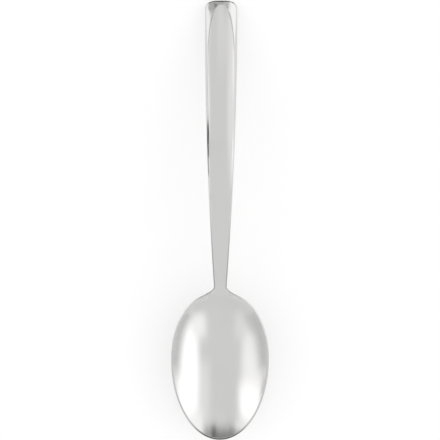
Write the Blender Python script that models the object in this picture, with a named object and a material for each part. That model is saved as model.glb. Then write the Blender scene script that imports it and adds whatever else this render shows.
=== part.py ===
"""Teaspoon: one piece of forged stainless steel, lying on a table with its bowl up.

The spoon lies along Y, its tip towards -Y and its handle's end towards +Y. X is across, Z is up and the
table is at Z = 0. Its two skins, the dished upper one and the rounded lower one, are grids that are shaped
by the sizes below. A rolled edge joins them all the way round.
"""

import math

import bmesh
import bpy
import numpy as np
from mathutils import Matrix, Vector

MM = 0.001

# Outline seen from above
LENGTH = 156.0 * MM
BOWL_WIDTH = 34.5 * MM
BOWL_FRONT = 28.3 * MM          # widest line to the tip, half an ellipse
BOWL_REAR = 24.2 * MM           # widest line to where the oval would close, at the neck
REAR_FULLNESS = 0.23            # 0 would make that half an ellipse too, more gives it shoulders
OVAL_BLEND = 6.0 * MM           # length over which the rear half of the oval turns into the front half
FLARE_LENGTH = 5.6 * MM         # from the neck back to the bowl's oval
FLARE_SETBACK = 2.3 * MM        # the flare starts this far up the neck from the oval's closing point
NECK_WIDTH = 4.5 * MM
HANDLE_WIDTH = 11.4 * MM
HANDLE_PARALLEL = 10.0 * MM     # stretch with parallel sides at the handle's end
TAPER_POWER = 1.85              # 1 would taper in straight lines, more gives fuller sides
END_ROUND = 3.55 * MM           # length of the rounded end
END_POWER = 3.0                 # 2 would make the end an ellipse, more makes its corners squarer

# Bowl
BOWL_DEPTH = 7.8 * MM           # inside, below the rim
BOWL_FLOOR = 1.3 * MM           # wall at the deepest point
RIM_WIDTH = 0.7 * MM            # rim seen from above
RIM_DROP = 0.45 * MM            # from the rim's inner edge down to its outer edge
RIM_START = math.radians(-25.0)  # the rim rises from its inner edge before it rolls over
RUNOUT_DEPTH = 0.55 * MM        # the dish is still this deep where it leaves the oval for the neck
HEEL_LENGTH = 13.0 * MM         # the neck's underside runs out this far along the back of the bowl
HEEL_WIDTH = 9.0 * MM           # and spreads to this width on the way
HEEL_BLEND = 1.2 * MM           # softness of that spread
HEEL_FADE = 2.0                 # power of its bell-shaped section there
HEEL_POWER = 2.6                # higher joins heel and bowl more tightly

# Neck and handle
NECK_THICKNESS = 3.7 * MM
NECK_EDGE = 0.5 * MM            # rolled edge beside the flat top, seen from above
NECK_DROP = 0.6 * MM            # from the flat top down to the widest line of the side
HANDLE_THICKNESS = 4.6 * MM
HANDLE_EDGE = 0.95 * MM
HANDLE_DROP = 2.0 * MM
END_DROP = 0.68 * MM            # the drop at the middle of the handle's end
END_RAMP = 3.0 * MM             # length over which the drop changes to that
UNDERSIDE_POWER = 2.2           # 2 rounds the underside evenly, more makes it fuller
FLAT_SETBACK = 1.65 * MM        # the flat top ends this far from the handle's end
FLAT_ARCH = 22.0 * MM           # length over which the flat top narrows to its arched end
FLAT_ARCH_POWER = 2.3
FLAT_TIP = 0.4 * MM             # height of the arch's blunt tip
CROWN = 0.9 * MM                # the top swells this much across its width at the handle's end
EDGE_START = math.radians(22.0)  # the edge leaves the top with a crease, not tangent to it
EDGE_BEVEL = 0.9                # how straight the edge falls before it rolls over
ARCH_BEVEL = 0.6                # the same beside the arch
END_BEVEL = 0.85                # and at the handle's end

# Side view, as heights above the rim at the bowl's widest line
TIP_HEIGHT = -1.7 * MM
NECK_HEIGHT = 3.3 * MM
CREST_HEIGHT = 8.2 * MM
CREST_Y = 14.0 * MM
END_HEIGHT = -4.4 * MM
REST_FLAT = 0.06 * MM           # depth of the small flats that the spoon rests on

# Finish
STEEL_COLOUR = (0.66, 0.66, 0.65, 1.0)
STEEL_ROUGHNESS = 0.12

# Mesh
COLUMNS = 18
TIP_ROWS = 16
REAR_ROWS = 14
FLARE_ROWS = 14
HANDLE_ROWS = 22
ARCH_ROWS = 16
ARCH_CROWD = 2.4                # rows crowd towards the handle's end
EDGE_ROWS = 4
END_BOW_POWER = 4               # only the last rows bend round the handle's end
RATE_STEP = 0.01 * MM           # small step for a curve's slope and bend
WELD_DISTANCE = 0.001 * MM
CUT_DISTANCE = 0.0001 * MM      # points this close to the table count as on it
BORDER_COLUMN = 1.0 - 1e-6      # columns run from -1 to 1, and those past this lie on the outline
SHARP_ANGLE = math.radians(30.0)
SETTLE_STEPS = 4                # turns that bring the spoon to rest

TIP_Y = -LENGTH / 2
END_Y = LENGTH / 2
WIDEST_Y = TIP_Y + BOWL_FRONT
NECK_Y = WIDEST_Y + BOWL_REAR + FLARE_SETBACK
FLARE_Y = NECK_Y - FLARE_LENGTH
TAPER_Y = END_Y - HANDLE_PARALLEL
ROUND_Y = END_Y - END_ROUND
ARCH_TIP_Y = END_Y - FLAT_SETBACK
ARCH_Y = ARCH_TIP_Y - FLAT_ARCH
HALF_BOWL = BOWL_WIDTH / 2
HALF_NECK = NECK_WIDTH / 2
HALF_HANDLE = HANDLE_WIDTH / 2
TIP_CORNER = math.radians(58.0)  # where the grid's corners sit on the oval, from the widest line
END_CORNER = 0.8                 # where they sit on the rounded end, as a part of its length


def ease(value, start, stop):
    """Rise from 0 at start to 1 at stop, with no kink or change of bend at either."""
    t = min(max((value - start) / (stop - start), 0.0), 1.0)
    return t * t * t * (t * (6.0 * t - 15.0) + 10.0)


def mix(a, b, share):
    """Go from a to b."""
    return a + (b - a) * share


def soft_min(a, b, reach):
    """Return the smaller of a and b, rounded where they are closer than reach."""
    return min(a, b) - max(reach - abs(a - b), 0.0) ** 2 / (4.0 * reach)


def smooth_curve(points):
    """Return the natural cubic spline through (y, z) points."""
    y, z = (np.array(column) for column in zip(*points))
    step = np.diff(y)
    slope = np.diff(z) / step
    system = np.eye(len(y))
    bend = np.zeros(len(y))
    for i in range(1, len(y) - 1):
        system[i, i - 1:i + 2] = step[i - 1], 2 * (step[i - 1] + step[i]), step[i]
        bend[i] = 6 * (slope[i] - slope[i - 1])
    bend = np.linalg.solve(system, bend)

    def height(at):
        i = int(np.clip(np.searchsorted(y, at) - 1, 0, len(step) - 1))
        left, right, h = at - y[i], y[i + 1] - at, step[i]
        return ((bend[i] * right ** 3 + bend[i + 1] * left ** 3) / (6 * h)
                + (z[i] / h - bend[i] * h / 6) * right + (z[i + 1] / h - bend[i + 1] * h / 6) * left)

    return height


top_line = smooth_curve([(TIP_Y, TIP_HEIGHT), (WIDEST_Y, 0.0), (NECK_Y, NECK_HEIGHT),
                         (CREST_Y, CREST_HEIGHT), (END_Y, END_HEIGHT)])


def oval_room(y, inset=0.0):
    """Return the square of the oval's width, as a part of its greatest. It is below 0 past its ends."""
    ahead = WIDEST_Y - y
    front = (1.0 + math.tanh(ahead / OVAL_BLEND)) / 2
    share = (ahead / (mix(BOWL_REAR, BOWL_FRONT, front) - inset)) ** 2
    return (1.0 - share) * (1.0 + mix(REAR_FULLNESS, 0.0, front) * share)


def oval_half_width(y, inset=0.0):
    """Return half the width of the bowl's oval."""
    return (HALF_BOWL - inset) * math.sqrt(max(oval_room(y, inset), 0.0))


def taper_half_width(y):
    """Return half the width of the handle without its rounded end."""
    left = max(TAPER_Y - y, 0.0) / (TAPER_Y - NECK_Y)
    return HALF_HANDLE - (HALF_HANDLE - HALF_NECK) * left ** TAPER_POWER


def rates(curve, y):
    """Return a curve's value, slope and bend at y."""
    h = RATE_STEP
    low, middle, high = curve(y - h), curve(y), curve(y + h)
    return middle, (high - low) / (2 * h), (high - 2 * middle + low) / (h * h)


def flare_curve():
    """Return the fifth-power curve that carries the oval's outline into the neck's."""
    p0, m0, a0 = rates(oval_half_width, FLARE_Y)
    p1, m1, a1 = rates(taper_half_width, NECK_Y)
    h = FLARE_LENGTH
    gap = np.array([p1 - p0 - m0 * h - a0 * h * h / 2, (m1 - m0 - a0 * h) * h, (a1 - a0) * h * h])
    cubic, quartic, quintic = np.linalg.solve([[1, 1, 1], [3, 4, 5], [6, 12, 20]], gap)

    def half_width(y):
        t = (y - FLARE_Y) / h
        return p0 + m0 * h * t + a0 * h * h * t * t / 2 + t ** 3 * (cubic + quartic * t + quintic * t * t)

    return half_width


flare_half_width = flare_curve()


def side_half_width(y):
    """Return half the outline's width, without the handle's rounded end."""
    if y < FLARE_Y:
        return oval_half_width(y)
    if y < NECK_Y:
        return flare_half_width(y)
    return taper_half_width(y)


def end_share(y):
    """Return how far y lies into the handle's rounded end, from 0 to 1."""
    return min(max((y - ROUND_Y) / END_ROUND, 0.0), 1.0)


def half_width(y):
    """Return half the outline's width."""
    return side_half_width(y) * (1.0 - end_share(y) ** END_POWER) ** (1.0 / END_POWER)


def end_reach(x):
    """Return the y of the handle's end outline at x."""
    share = min(abs(x) / HALF_HANDLE, 1.0)
    return ROUND_Y + END_ROUND * (1.0 - share ** END_POWER) ** (1.0 / END_POWER)


def tip_reach(x, inset=0.0):
    """Return the y of the bowl's tip outline at x."""
    share = min(abs(x) / (HALF_BOWL - inset), 1.0)
    return WIDEST_Y - (BOWL_FRONT - inset) * math.sqrt(1.0 - share * share)


def edge_width(y):
    """Return the plan width of the rolled edge: the bowl's rim, or the side of the handle."""
    if y < NECK_Y:
        return mix(RIM_WIDTH, NECK_EDGE, ease(y, FLARE_Y, NECK_Y))
    return mix(NECK_EDGE, HANDLE_EDGE, ease(y, NECK_Y, ARCH_Y))


def edge_drop(x, y):
    """Return the height from the top line down to the outline, which follows the crown at the handle's end."""
    if y < NECK_Y:
        return mix(RIM_DROP, NECK_DROP, ease(y, FLARE_Y - FLARE_LENGTH, NECK_Y))
    side_drop = mix(NECK_DROP, HANDLE_DROP, ease(y, NECK_Y, TAPER_Y))
    return mix(side_drop, END_DROP + CROWN * (x / flat_half_width(y)) ** 2, end_ramp(y))


def end_ramp(y):
    """Return how far the handle's side has turned into its end, from 0 to 1."""
    return ease(y, END_Y - END_RAMP, END_Y)


def edge_start(y):
    """Return the angle at which the edge leaves the upper skin."""
    return mix(RIM_START, EDGE_START, ease(y, FLARE_Y - FLARE_LENGTH, NECK_Y))


def edge_bevel(y):
    """Return how straight the edge falls, from 0 for the round rim."""
    bevel = mix(EDGE_BEVEL, ARCH_BEVEL, ease(y, ARCH_Y - FLAT_ARCH, ARCH_Y))
    return mix(bevel, END_BEVEL, end_ramp(y)) * ease(y, FLARE_Y, NECK_Y)


def flat_half_width(y):
    """Return half the width inside the edge, without the arched end of the flat top."""
    if y < WIDEST_Y:
        return oval_half_width(y, RIM_WIDTH)
    width, slope, _ = rates(side_half_width, y)
    return width - edge_width(y) * math.hypot(1.0, slope)


def inner_half_width(y):
    """Return half the width inside the edge: to the rim's inner line, or to the crease of the flat top."""
    arch = min(max((y - ARCH_Y) / FLAT_ARCH, 0.0), 1.0)
    return flat_half_width(y) * (1.0 - arch ** FLAT_ARCH_POWER) ** (1.0 / FLAT_ARCH_POWER)


def dish_depth(y):
    """Return the dish's depth on the centre line, running out softly up the neck."""
    depth = BOWL_DEPTH * oval_room(y, RIM_WIDTH)
    soft = RUNOUT_DEPTH * ease(y, WIDEST_Y, NECK_Y)
    return (depth + math.hypot(depth, 2.0 * soft)) / 2 if y > WIDEST_Y else depth


def top_height(x, y):
    """Return the upper skin's height."""
    if y < WIDEST_Y:
        across = BOWL_DEPTH * (x / (HALF_BOWL - RIM_WIDTH)) ** 2
        return top_line(y) - dish_depth(y) + across
    across = (x / flat_half_width(y)) ** 2
    crown = CROWN * ease(y, NECK_Y, ARCH_Y)
    return top_line(y) - dish_depth(y) * (1.0 - across) - crown * across


def side_height(x, y):
    """Return the outline's height."""
    return top_line(y) - edge_drop(x, y)


def bar_half_width(y):
    """Return half the width of the handle's underside, spreading as a heel on the back of the bowl."""
    if y < NECK_Y:
        return soft_min(max(side_half_width(y), HALF_NECK), HEEL_WIDTH / 2, HEEL_BLEND)
    return side_half_width(y)


def bottom_height(x, y):
    """Return the lower skin's height: the back of the bowl, the heel and the handle's underside."""
    back = (BOWL_DEPTH + BOWL_FLOOR - RIM_DROP) * max(oval_room(y), 0.0)
    if y < WIDEST_Y:
        back -= (BOWL_DEPTH + BOWL_FLOOR - RIM_DROP) * (x / HALF_BOWL) ** 2
    else:
        back *= 1.0 - (x / side_half_width(y)) ** 2
    thickness = mix(NECK_THICKNESS, HANDLE_THICKNESS, ease(y, NECK_Y, END_Y)) - edge_drop(x, y)
    across = min(abs(x) / bar_half_width(y), 1.0)
    room = max(1.0 - across ** END_POWER - end_share(y) ** END_POWER, 0.0)
    fullness = mix(HEEL_FADE, 1.0 / UNDERSIDE_POWER, ease(y, FLARE_Y, NECK_Y))
    bar = thickness * room ** fullness * ease(y, NECK_Y - HEEL_LENGTH, NECK_Y)
    return side_height(x, y) - (max(back, 0.0) ** HEEL_POWER + bar ** HEEL_POWER) ** (1.0 / HEEL_POWER)


class Row:
    """One crosswise line of both skins, with its ends on the crease or rim and on the outline."""

    def __init__(self, inner_y, outer_y, tip_bow=0.0, end_bow=0.0):
        self.inner_y, self.outer_y = inner_y, outer_y
        self.tip_bow, self.end_bow = tip_bow, end_bow
        self.inner_x, self.outer_x = inner_half_width(inner_y), half_width(outer_y)

    def column(self, u):
        """Spread the columns evenly in the bowl, to the middle on the flare and to the sides on the handle."""
        inwards, outwards = u * abs(u), math.sin(u * math.pi / 2)
        return mix(mix(u, inwards, ease(self.outer_y, WIDEST_Y, FLARE_Y)), outwards,
                   ease(self.outer_y, FLARE_Y, NECK_Y))

    def upper(self, u):
        """Return the upper skin's point."""
        x = self.column(u) * self.inner_x
        y = self.inner_y
        if self.tip_bow:
            corner = HALF_BOWL - RIM_WIDTH
            y += self.tip_bow * (tip_reach(self.column(u) * corner * math.cos(TIP_CORNER), RIM_WIDTH)
                                 - tip_reach(corner * math.cos(TIP_CORNER), RIM_WIDTH))
        y += self.end_bow * FLAT_TIP * (1.0 - self.column(u) ** 2)
        return Vector((x, y, top_height(x, y)))

    def outline(self, u):
        """Return the lower skin's place in plan."""
        y = self.outer_y
        if self.tip_bow:
            corner = HALF_BOWL * math.cos(TIP_CORNER)
            y += self.tip_bow * (tip_reach(self.column(u) * corner) - tip_reach(corner))
        if self.end_bow:
            corner = half_width(ROUND_Y + END_CORNER * END_ROUND)
            y += self.end_bow * (end_reach(self.column(u) * corner) - end_reach(corner))
        return self.column(u) * self.outer_x, y

    def lower(self, u, on_outline):
        """Return the lower skin's point, or the outline's where the two skins' edges meet."""
        x, y = self.outline(u)
        return Vector((x, y, side_height(x, y) if on_outline else bottom_height(x, y)))


def make_rows():
    """Return the rows from the tip to the handle's end, closest where the shape turns fastest."""
    rows = []
    for i in range(TIP_ROWS, 0, -1):
        share = i / TIP_ROWS
        ahead = math.sin(TIP_CORNER * share)
        rows.append(Row(WIDEST_Y - (BOWL_FRONT - RIM_WIDTH) * ahead, WIDEST_Y - BOWL_FRONT * ahead,
                        tip_bow=share ** 2))
    rear_turn = math.asin((FLARE_Y - WIDEST_Y) / BOWL_REAR)
    for i in range(REAR_ROWS):
        y = WIDEST_Y + BOWL_REAR * math.sin(rear_turn * i / REAR_ROWS)
        rows.append(Row(y, y))
    for start, stop, count in [(FLARE_Y, NECK_Y, FLARE_ROWS), (NECK_Y, ARCH_Y, HANDLE_ROWS)]:
        for i in range(count):
            y = mix(start, stop, i / count)
            rows.append(Row(y, y))
    for i in range(ARCH_ROWS + 1):
        share = 1.0 - (1.0 - i / ARCH_ROWS) ** ARCH_CROWD
        inner_y = mix(ARCH_Y, ARCH_TIP_Y - FLAT_TIP, share)
        outer_y = mix(ARCH_Y, ROUND_Y + END_CORNER * END_ROUND, share)
        rows.append(Row(inner_y, outer_y, end_bow=(i / ARCH_ROWS) ** END_BOW_POWER))
    return rows


def edge_point(row, u, share):
    """Return a point of the rolled edge: share 0 on the upper skin, 1 on the outline."""
    start = edge_start(row.inner_y)
    angle = mix(start, math.pi / 2, share)
    out = (math.sin(angle) - math.sin(start)) / (1.0 - math.sin(start))
    down = (math.cos(start) - math.cos(angle)) / math.cos(start)
    down = mix(down, out, edge_bevel(row.inner_y))
    inner, outer = row.upper(u), row.lower(u, on_outline=True)
    plan = inner.lerp(outer, out)
    return Vector((plan.x, plan.y, mix(inner.z, outer.z, down)))


def add_skin(mesh, place, rows, upper):
    """Add a grid and shape it into one skin. Return its vertices, with their column and row kept on them."""
    made = bmesh.ops.create_grid(mesh, x_segments=COLUMNS, y_segments=len(rows) - 1, size=1.0)["verts"]
    for vertex in made:
        u = vertex.co.x
        index = round((vertex.co.y + 1.0) / 2.0 * (len(rows) - 1))
        vertex[place] = Vector((u, index, 0.0))
        on_outline = abs(u) > BORDER_COLUMN or index in (0, len(rows) - 1)
        vertex.co = rows[index].upper(u) if upper else rows[index].lower(u, on_outline)
    return made


def roll_edge(mesh, place, rows, skin):
    """Extrude the upper skin's border outwards and down, row by row, to the outline."""
    kept = set(skin)
    border = [edge for edge in mesh.edges if edge.is_boundary and edge.verts[0] in kept]
    for step in range(1, EDGE_ROWS + 1):
        made = bmesh.ops.extrude_edge_only(mesh, edges=border)["geom"]
        border = [item for item in made if isinstance(item, bmesh.types.BMEdge)]
        for vertex in (item for item in made if isinstance(item, bmesh.types.BMVert)):
            u, index, _ = vertex[place]
            vertex.co = edge_point(rows[round(index)], u, step / EDGE_ROWS)


def lay_down(mesh):
    """Turn, lower and centre the spoon until the bowl's back and the handle's end both reach the table."""
    for _ in range(SETTLE_STEPS):
        bowl = min((v.co for v in mesh.verts if v.co.y < NECK_Y), key=lambda co: co.z).copy()
        handle = min((v.co for v in mesh.verts if v.co.y > CREST_Y), key=lambda co: co.z).copy()
        tilt = math.atan2(handle.z - bowl.z, handle.y - bowl.y)
        bmesh.ops.transform(mesh, matrix=Matrix.Rotation(-tilt, 4, "X") @ Matrix.Translation(-bowl),
                            verts=mesh.verts)
        along = [v.co.y for v in mesh.verts]
        middle = (min(along) + max(along)) / 2
        lowest = min(v.co.z for v in mesh.verts)
        bmesh.ops.translate(mesh, vec=(0.0, -middle, -REST_FLAT - lowest), verts=mesh.verts)


def cut_rests(mesh):
    """Cut the small flats on which the spoon lies."""
    everything = mesh.verts[:] + mesh.edges[:] + mesh.faces[:]
    bmesh.ops.bisect_plane(mesh, geom=everything, dist=CUT_DISTANCE, plane_co=(0, 0, 0), plane_no=(0, 0, -1),
                           clear_outer=True)
    bmesh.ops.holes_fill(mesh, edges=[edge for edge in mesh.edges if edge.is_boundary])


def stainless_steel():
    """Return the polished steel."""
    material = bpy.data.materials.new("stainless_steel")
    material.use_nodes = True
    shader = material.node_tree.nodes["Principled BSDF"]
    shader.inputs["Base Color"].default_value = STEEL_COLOUR
    shader.inputs["Metallic"].default_value = 1.0
    shader.inputs["Roughness"].default_value = STEEL_ROUGHNESS
    return material


def make_teaspoon(collection):
    """Add the teaspoon."""
    rows = make_rows()
    shape = bmesh.new()
    place = shape.verts.layers.float_vector.new("place")
    upper = add_skin(shape, place, rows, upper=True)
    roll_edge(shape, place, rows, upper)
    add_skin(shape, place, rows, upper=False)
    bmesh.ops.remove_doubles(shape, verts=shape.verts, dist=WELD_DISTANCE)
    lay_down(shape)
    cut_rests(shape)
    bmesh.ops.recalc_face_normals(shape, faces=shape.faces)
    mesh = bpy.data.meshes.new("teaspoon")
    shape.to_mesh(mesh)
    shape.free()
    mesh.shade_smooth()
    mesh.set_sharp_from_angle(angle=SHARP_ANGLE)
    mesh.materials.append(stainless_steel())
    collection.objects.link(bpy.data.objects.new("teaspoon", mesh))


def main():
    """Clear the scene and model the spoon."""
    for old in list(bpy.data.objects):
        bpy.data.objects.remove(old)
    collection = bpy.data.collections.new("Teaspoon")
    bpy.context.scene.collection.children.link(collection)
    make_teaspoon(collection)


main()
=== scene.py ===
"""Looks of the teaspoon: its fine surface, its polished steel and a plain, pale studio.

The spoon lies along Y, with its bowl's tip towards -Y, its handle's end towards +Y and the table at Z = 0.
Lengths are in metres. Angles of the form are in radians, those of the scratches and the studio in degrees.
"""

import logging
import math
import operator
from dataclasses import dataclass, field
from enum import Enum
from functools import cached_property, reduce
from typing import Any, Callable

import bmesh
import bpy
import numpy as np
from bmesh.types import BMEdge, BMesh, BMLayerItem, BMVert
from bpy.types import Material, NodeSocket, Object, World
from mathutils import Matrix, Vector


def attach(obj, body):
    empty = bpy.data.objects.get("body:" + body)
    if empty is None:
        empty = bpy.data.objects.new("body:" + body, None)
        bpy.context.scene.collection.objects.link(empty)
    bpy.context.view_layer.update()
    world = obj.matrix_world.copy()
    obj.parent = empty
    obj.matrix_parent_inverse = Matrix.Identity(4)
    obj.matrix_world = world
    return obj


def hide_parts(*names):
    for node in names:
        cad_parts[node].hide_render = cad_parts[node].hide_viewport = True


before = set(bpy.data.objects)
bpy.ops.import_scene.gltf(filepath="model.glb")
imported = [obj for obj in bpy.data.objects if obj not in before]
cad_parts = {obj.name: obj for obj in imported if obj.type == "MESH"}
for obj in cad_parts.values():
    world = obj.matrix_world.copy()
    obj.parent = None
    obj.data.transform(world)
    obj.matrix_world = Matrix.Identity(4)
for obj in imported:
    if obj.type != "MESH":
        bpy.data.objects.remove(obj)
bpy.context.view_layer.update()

MM = 0.001
NODE = "teaspoon"
BODY = "root"
RATE_STEP = 0.01 * MM           # small step for a curve's slope and bend
WELD_DISTANCE = 0.001 * MM      # points closer than this become one
CUT_DISTANCE = 1e-7             # points closer than this to the table lie on it
BORDER_SLACK = 1e-6             # columns closer than this to 1 lie on the grid's border
NOISE_MIDDLE = 0.5
OPEN = math.inf                 # a panel's side without a limit
PLACE = "place"                 # a vertex's column and row, while the mesh is made
DISH = "dish"                   # 1 inside the bowl, 0 elsewhere
GROUND_AND_SHADE = "ground"               # how far the surface is left ground, rougher and darkened with painted shade

Curve = Callable[[float], float]
Colour = tuple[float, float, float]
Limits = tuple[float, float]

log = logging.getLogger("teaspoon")


def clamp(value: float) -> float:
    """Hold a value between 0 and 1."""
    return min(max(value, 0.0), 1.0)


def ease(value: float, start: float, stop: float) -> float:
    """Rise from 0 at start to 1 at stop, with no kink or change of bend at either.

    Args:
        value: Where to read the rise.
        start: Where the rise begins.
        stop: Where it ends.

    Returns:
        A share from 0 to 1.
    """
    t = clamp((value - start) / (stop - start))
    return t * t * t * (t * (6.0 * t - 15.0) + 10.0)


def mix(a: float, b: float, share: float) -> float:
    """Go from a to b."""
    return a + (b - a) * share


def soft_min(a: float, b: float, reach: float) -> float:
    """Return the smaller of a and b, rounded where they are closer than reach."""
    return min(a, b) - max(reach - abs(a - b), 0.0) ** 2 / (4.0 * reach)


def rounded(share: float, power: float) -> float:
    """Return the width of a rounded end, from 1 where its share is 0 to 0 where it is 1."""
    return (1.0 - share ** power) ** (1.0 / power)


def rates(curve: Curve, y: float) -> tuple[float, float, float]:
    """Measure a curve at one place.

    Args:
        curve: The curve, as a function of y.
        y: Where to measure it.

    Returns:
        Its value, slope and bend.
    """
    h = RATE_STEP
    low, middle, high = curve(y - h), curve(y), curve(y + h)
    return middle, (high - low) / (2 * h), (high - 2 * middle + low) / (h * h)


def extrude(shape: BMesh, border: list[BMEdge]) -> tuple[list[BMEdge], list[BMVert]]:
    """Extrude a border by one row.

    Args:
        shape: The mesh that the border belongs to.
        border: The border's edges.

    Returns:
        The edges and the vertices of the new border.
    """
    made = bmesh.ops.extrude_edge_only(shape, edges=border)["geom"]
    edges = [item for item in made if isinstance(item, BMEdge)]
    return edges, [item for item in made if isinstance(item, BMVert)]


def add_object(name: str, shape: BMesh) -> Object:
    """Put a finished shape into the scene.

    Args:
        name: The name of the object and of its mesh.
        shape: The shape, which is freed.

    Returns:
        The object.
    """
    mesh = bpy.data.meshes.new(name)
    shape.to_mesh(mesh)
    shape.free()
    made = bpy.data.objects.new(name, mesh)
    bpy.context.scene.collection.objects.link(made)
    return made


class SmoothCurve:
    """The natural cubic spline through a few (y, z) points."""

    def __init__(self, points: list[tuple[float, float]]) -> None:
        """Solve for the bend at each point.

        Args:
            points: The (y, z) points, in order of y.
        """
        self.y, self.z = (np.array(column) for column in zip(*points))
        self.step = np.diff(self.y)
        slope = np.diff(self.z) / self.step
        system = np.eye(len(self.y))
        bend = np.zeros(len(self.y))
        for i in range(1, len(self.y) - 1):
            before, after = self.step[i - 1], self.step[i]
            system[i, i - 1:i + 2] = before, 2 * (before + after), after
            bend[i] = 6 * (slope[i] - slope[i - 1])
        self.bend = np.linalg.solve(system, bend)

    def __call__(self, at: float) -> float:
        """Read the curve.

        Args:
            at: The y to read it at.

        Returns:
            The curve's height there.
        """
        i = int(np.clip(np.searchsorted(self.y, at) - 1, 0, len(self.step) - 1))
        left, right, h = at - self.y[i], self.y[i + 1] - at, self.step[i]
        bent = (self.bend[i] * right ** 3 + self.bend[i + 1] * left ** 3) / (6 * h)
        return float(bent + (self.z[i] / h - self.bend[i] * h / 6) * right
                     + (self.z[i + 1] / h - self.bend[i + 1] * h / 6) * left)


@dataclass(frozen=True)
class Outline:
    """The spoon seen from above: the bowl's oval, the flare, the tapered handle and its rounded end."""

    length: float = 156.0 * MM
    bowl_width: float = 34.5 * MM
    bowl_front: float = 28.3 * MM       # widest line to the tip, half an ellipse
    bowl_rear: float = 24.2 * MM        # widest line to where the oval would close, at the neck
    rear_fullness: float = 0.23         # gives the rear half its shoulders
    oval_blend: float = 6.0 * MM        # length over which the rear half turns into the front half
    flare_length: float = 5.6 * MM
    flare_setback: float = 2.3 * MM     # from the oval's closing point up the neck to the flare's start
    neck_width: float = 4.5 * MM
    handle_width: float = 11.4 * MM
    handle_parallel: float = 10.0 * MM  # stretch with parallel sides at the handle's end
    taper_power: float = 1.85
    end_round: float = 3.55 * MM
    end_power: float = 3.0

    @property
    def tip_y(self) -> float:
        """Return the place of the bowl's tip."""
        return -self.length / 2

    @property
    def end_y(self) -> float:
        """Return the place of the handle's end."""
        return self.length / 2

    @property
    def widest_y(self) -> float:
        """Return the place of the bowl's widest line."""
        return self.tip_y + self.bowl_front

    @property
    def neck_y(self) -> float:
        """Return the place where the flare meets the neck."""
        return self.widest_y + self.bowl_rear + self.flare_setback

    @property
    def flare_y(self) -> float:
        """Return the place where the flare leaves the oval."""
        return self.neck_y - self.flare_length

    @property
    def taper_y(self) -> float:
        """Return the place where the handle's sides become parallel."""
        return self.end_y - self.handle_parallel

    @property
    def round_y(self) -> float:
        """Return the place where the rounded end begins."""
        return self.end_y - self.end_round

    @property
    def half_bowl(self) -> float:
        """Return half the bowl's width."""
        return self.bowl_width / 2

    def oval_room(self, y: float, inset: float = 0.0) -> float:
        """Square the oval's width, as a part of its greatest.

        Args:
            y: Place along the spoon.
            inset: How far inside the outline to read it.

        Returns:
            1 at the widest line, 0 at the oval's ends and less past them.
        """
        ahead = self.widest_y - y
        front = (1.0 + math.tanh(ahead / self.oval_blend)) / 2
        share = (ahead / (mix(self.bowl_rear, self.bowl_front, front) - inset)) ** 2
        return (1.0 - share) * (1.0 + mix(self.rear_fullness, 0.0, front) * share)

    def oval_half_width(self, y: float, inset: float = 0.0) -> float:
        """Return half the width of the bowl's oval."""
        return (self.half_bowl - inset) * math.sqrt(max(self.oval_room(y, inset), 0.0))

    def taper_half_width(self, y: float) -> float:
        """Return half the width of the handle without its rounded end."""
        left = max(self.taper_y - y, 0.0) / (self.taper_y - self.neck_y)
        return (self.handle_width - (self.handle_width - self.neck_width) * left ** self.taper_power) / 2

    @cached_property
    def flare(self) -> Curve:
        """Carry the oval's outline into the neck's, with matched slope and bend at both ends.

        Returns:
            Half the flare's width as a function of y, a curve of the fifth power.
        """
        p0, m0, a0 = rates(self.oval_half_width, self.flare_y)
        p1, m1, a1 = rates(self.taper_half_width, self.neck_y)
        h = self.flare_length
        gap = [p1 - p0 - m0 * h - a0 * h * h / 2, (m1 - m0 - a0 * h) * h, (a1 - a0) * h * h]
        # Value, slope and bend of the third, fourth and fifth powers where the flare ends.
        powers = np.linalg.solve([[1, 1, 1], [3, 4, 5], [6, 12, 20]], np.array(gap))
        curve = np.polynomial.Polynomial([p0, m0 * h, a0 * h * h / 2, *powers])
        return lambda y: float(curve((y - self.flare_y) / h))

    def side_half_width(self, y: float) -> float:
        """Measure the outline without the handle's rounded end.

        Args:
            y: Place along the spoon.

        Returns:
            Half its width.
        """
        if y < self.flare_y:
            return self.oval_half_width(y)
        return self.flare(y) if y < self.neck_y else self.taper_half_width(y)

    def end_share(self, y: float) -> float:
        """Return how far y lies into the handle's rounded end, from 0 to 1."""
        return clamp((y - self.round_y) / self.end_round)

    def half_width(self, y: float) -> float:
        """Return half the outline's width."""
        return self.side_half_width(y) * rounded(self.end_share(y), self.end_power)

    def end_reach(self, x: float) -> float:
        """Return the y of the handle's end outline at x."""
        share = min(abs(x) / (self.handle_width / 2), 1.0)
        return self.round_y + self.end_round * rounded(share, self.end_power)

    def tip_reach(self, x: float, inset: float) -> float:
        """Return the y of the bowl's tip outline at x, or that of a line inset from it."""
        share = min(abs(x) / (self.half_bowl - inset), 1.0)
        return self.widest_y - (self.bowl_front - inset) * math.sqrt(1.0 - share * share)


@dataclass(frozen=True)
class SideView:
    """The top line seen from the side, as heights above the rim at the bowl's widest line."""

    tip_height: float = -1.7 * MM
    neck_height: float = 3.3 * MM
    crest_height: float = 8.2 * MM
    crest_y: float = 14.0 * MM
    end_height: float = -4.4 * MM

    def line(self, plan: Outline) -> SmoothCurve:
        """Draw the top line.

        Args:
            plan: The outline that gives the places of the heights.

        Returns:
            Height as a function of y.
        """
        return SmoothCurve([
            (plan.tip_y, self.tip_height),
            (plan.widest_y, 0.0),
            (plan.neck_y, self.neck_height),
            (self.crest_y, self.crest_height),
            (plan.end_y, self.end_height),
        ])


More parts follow.
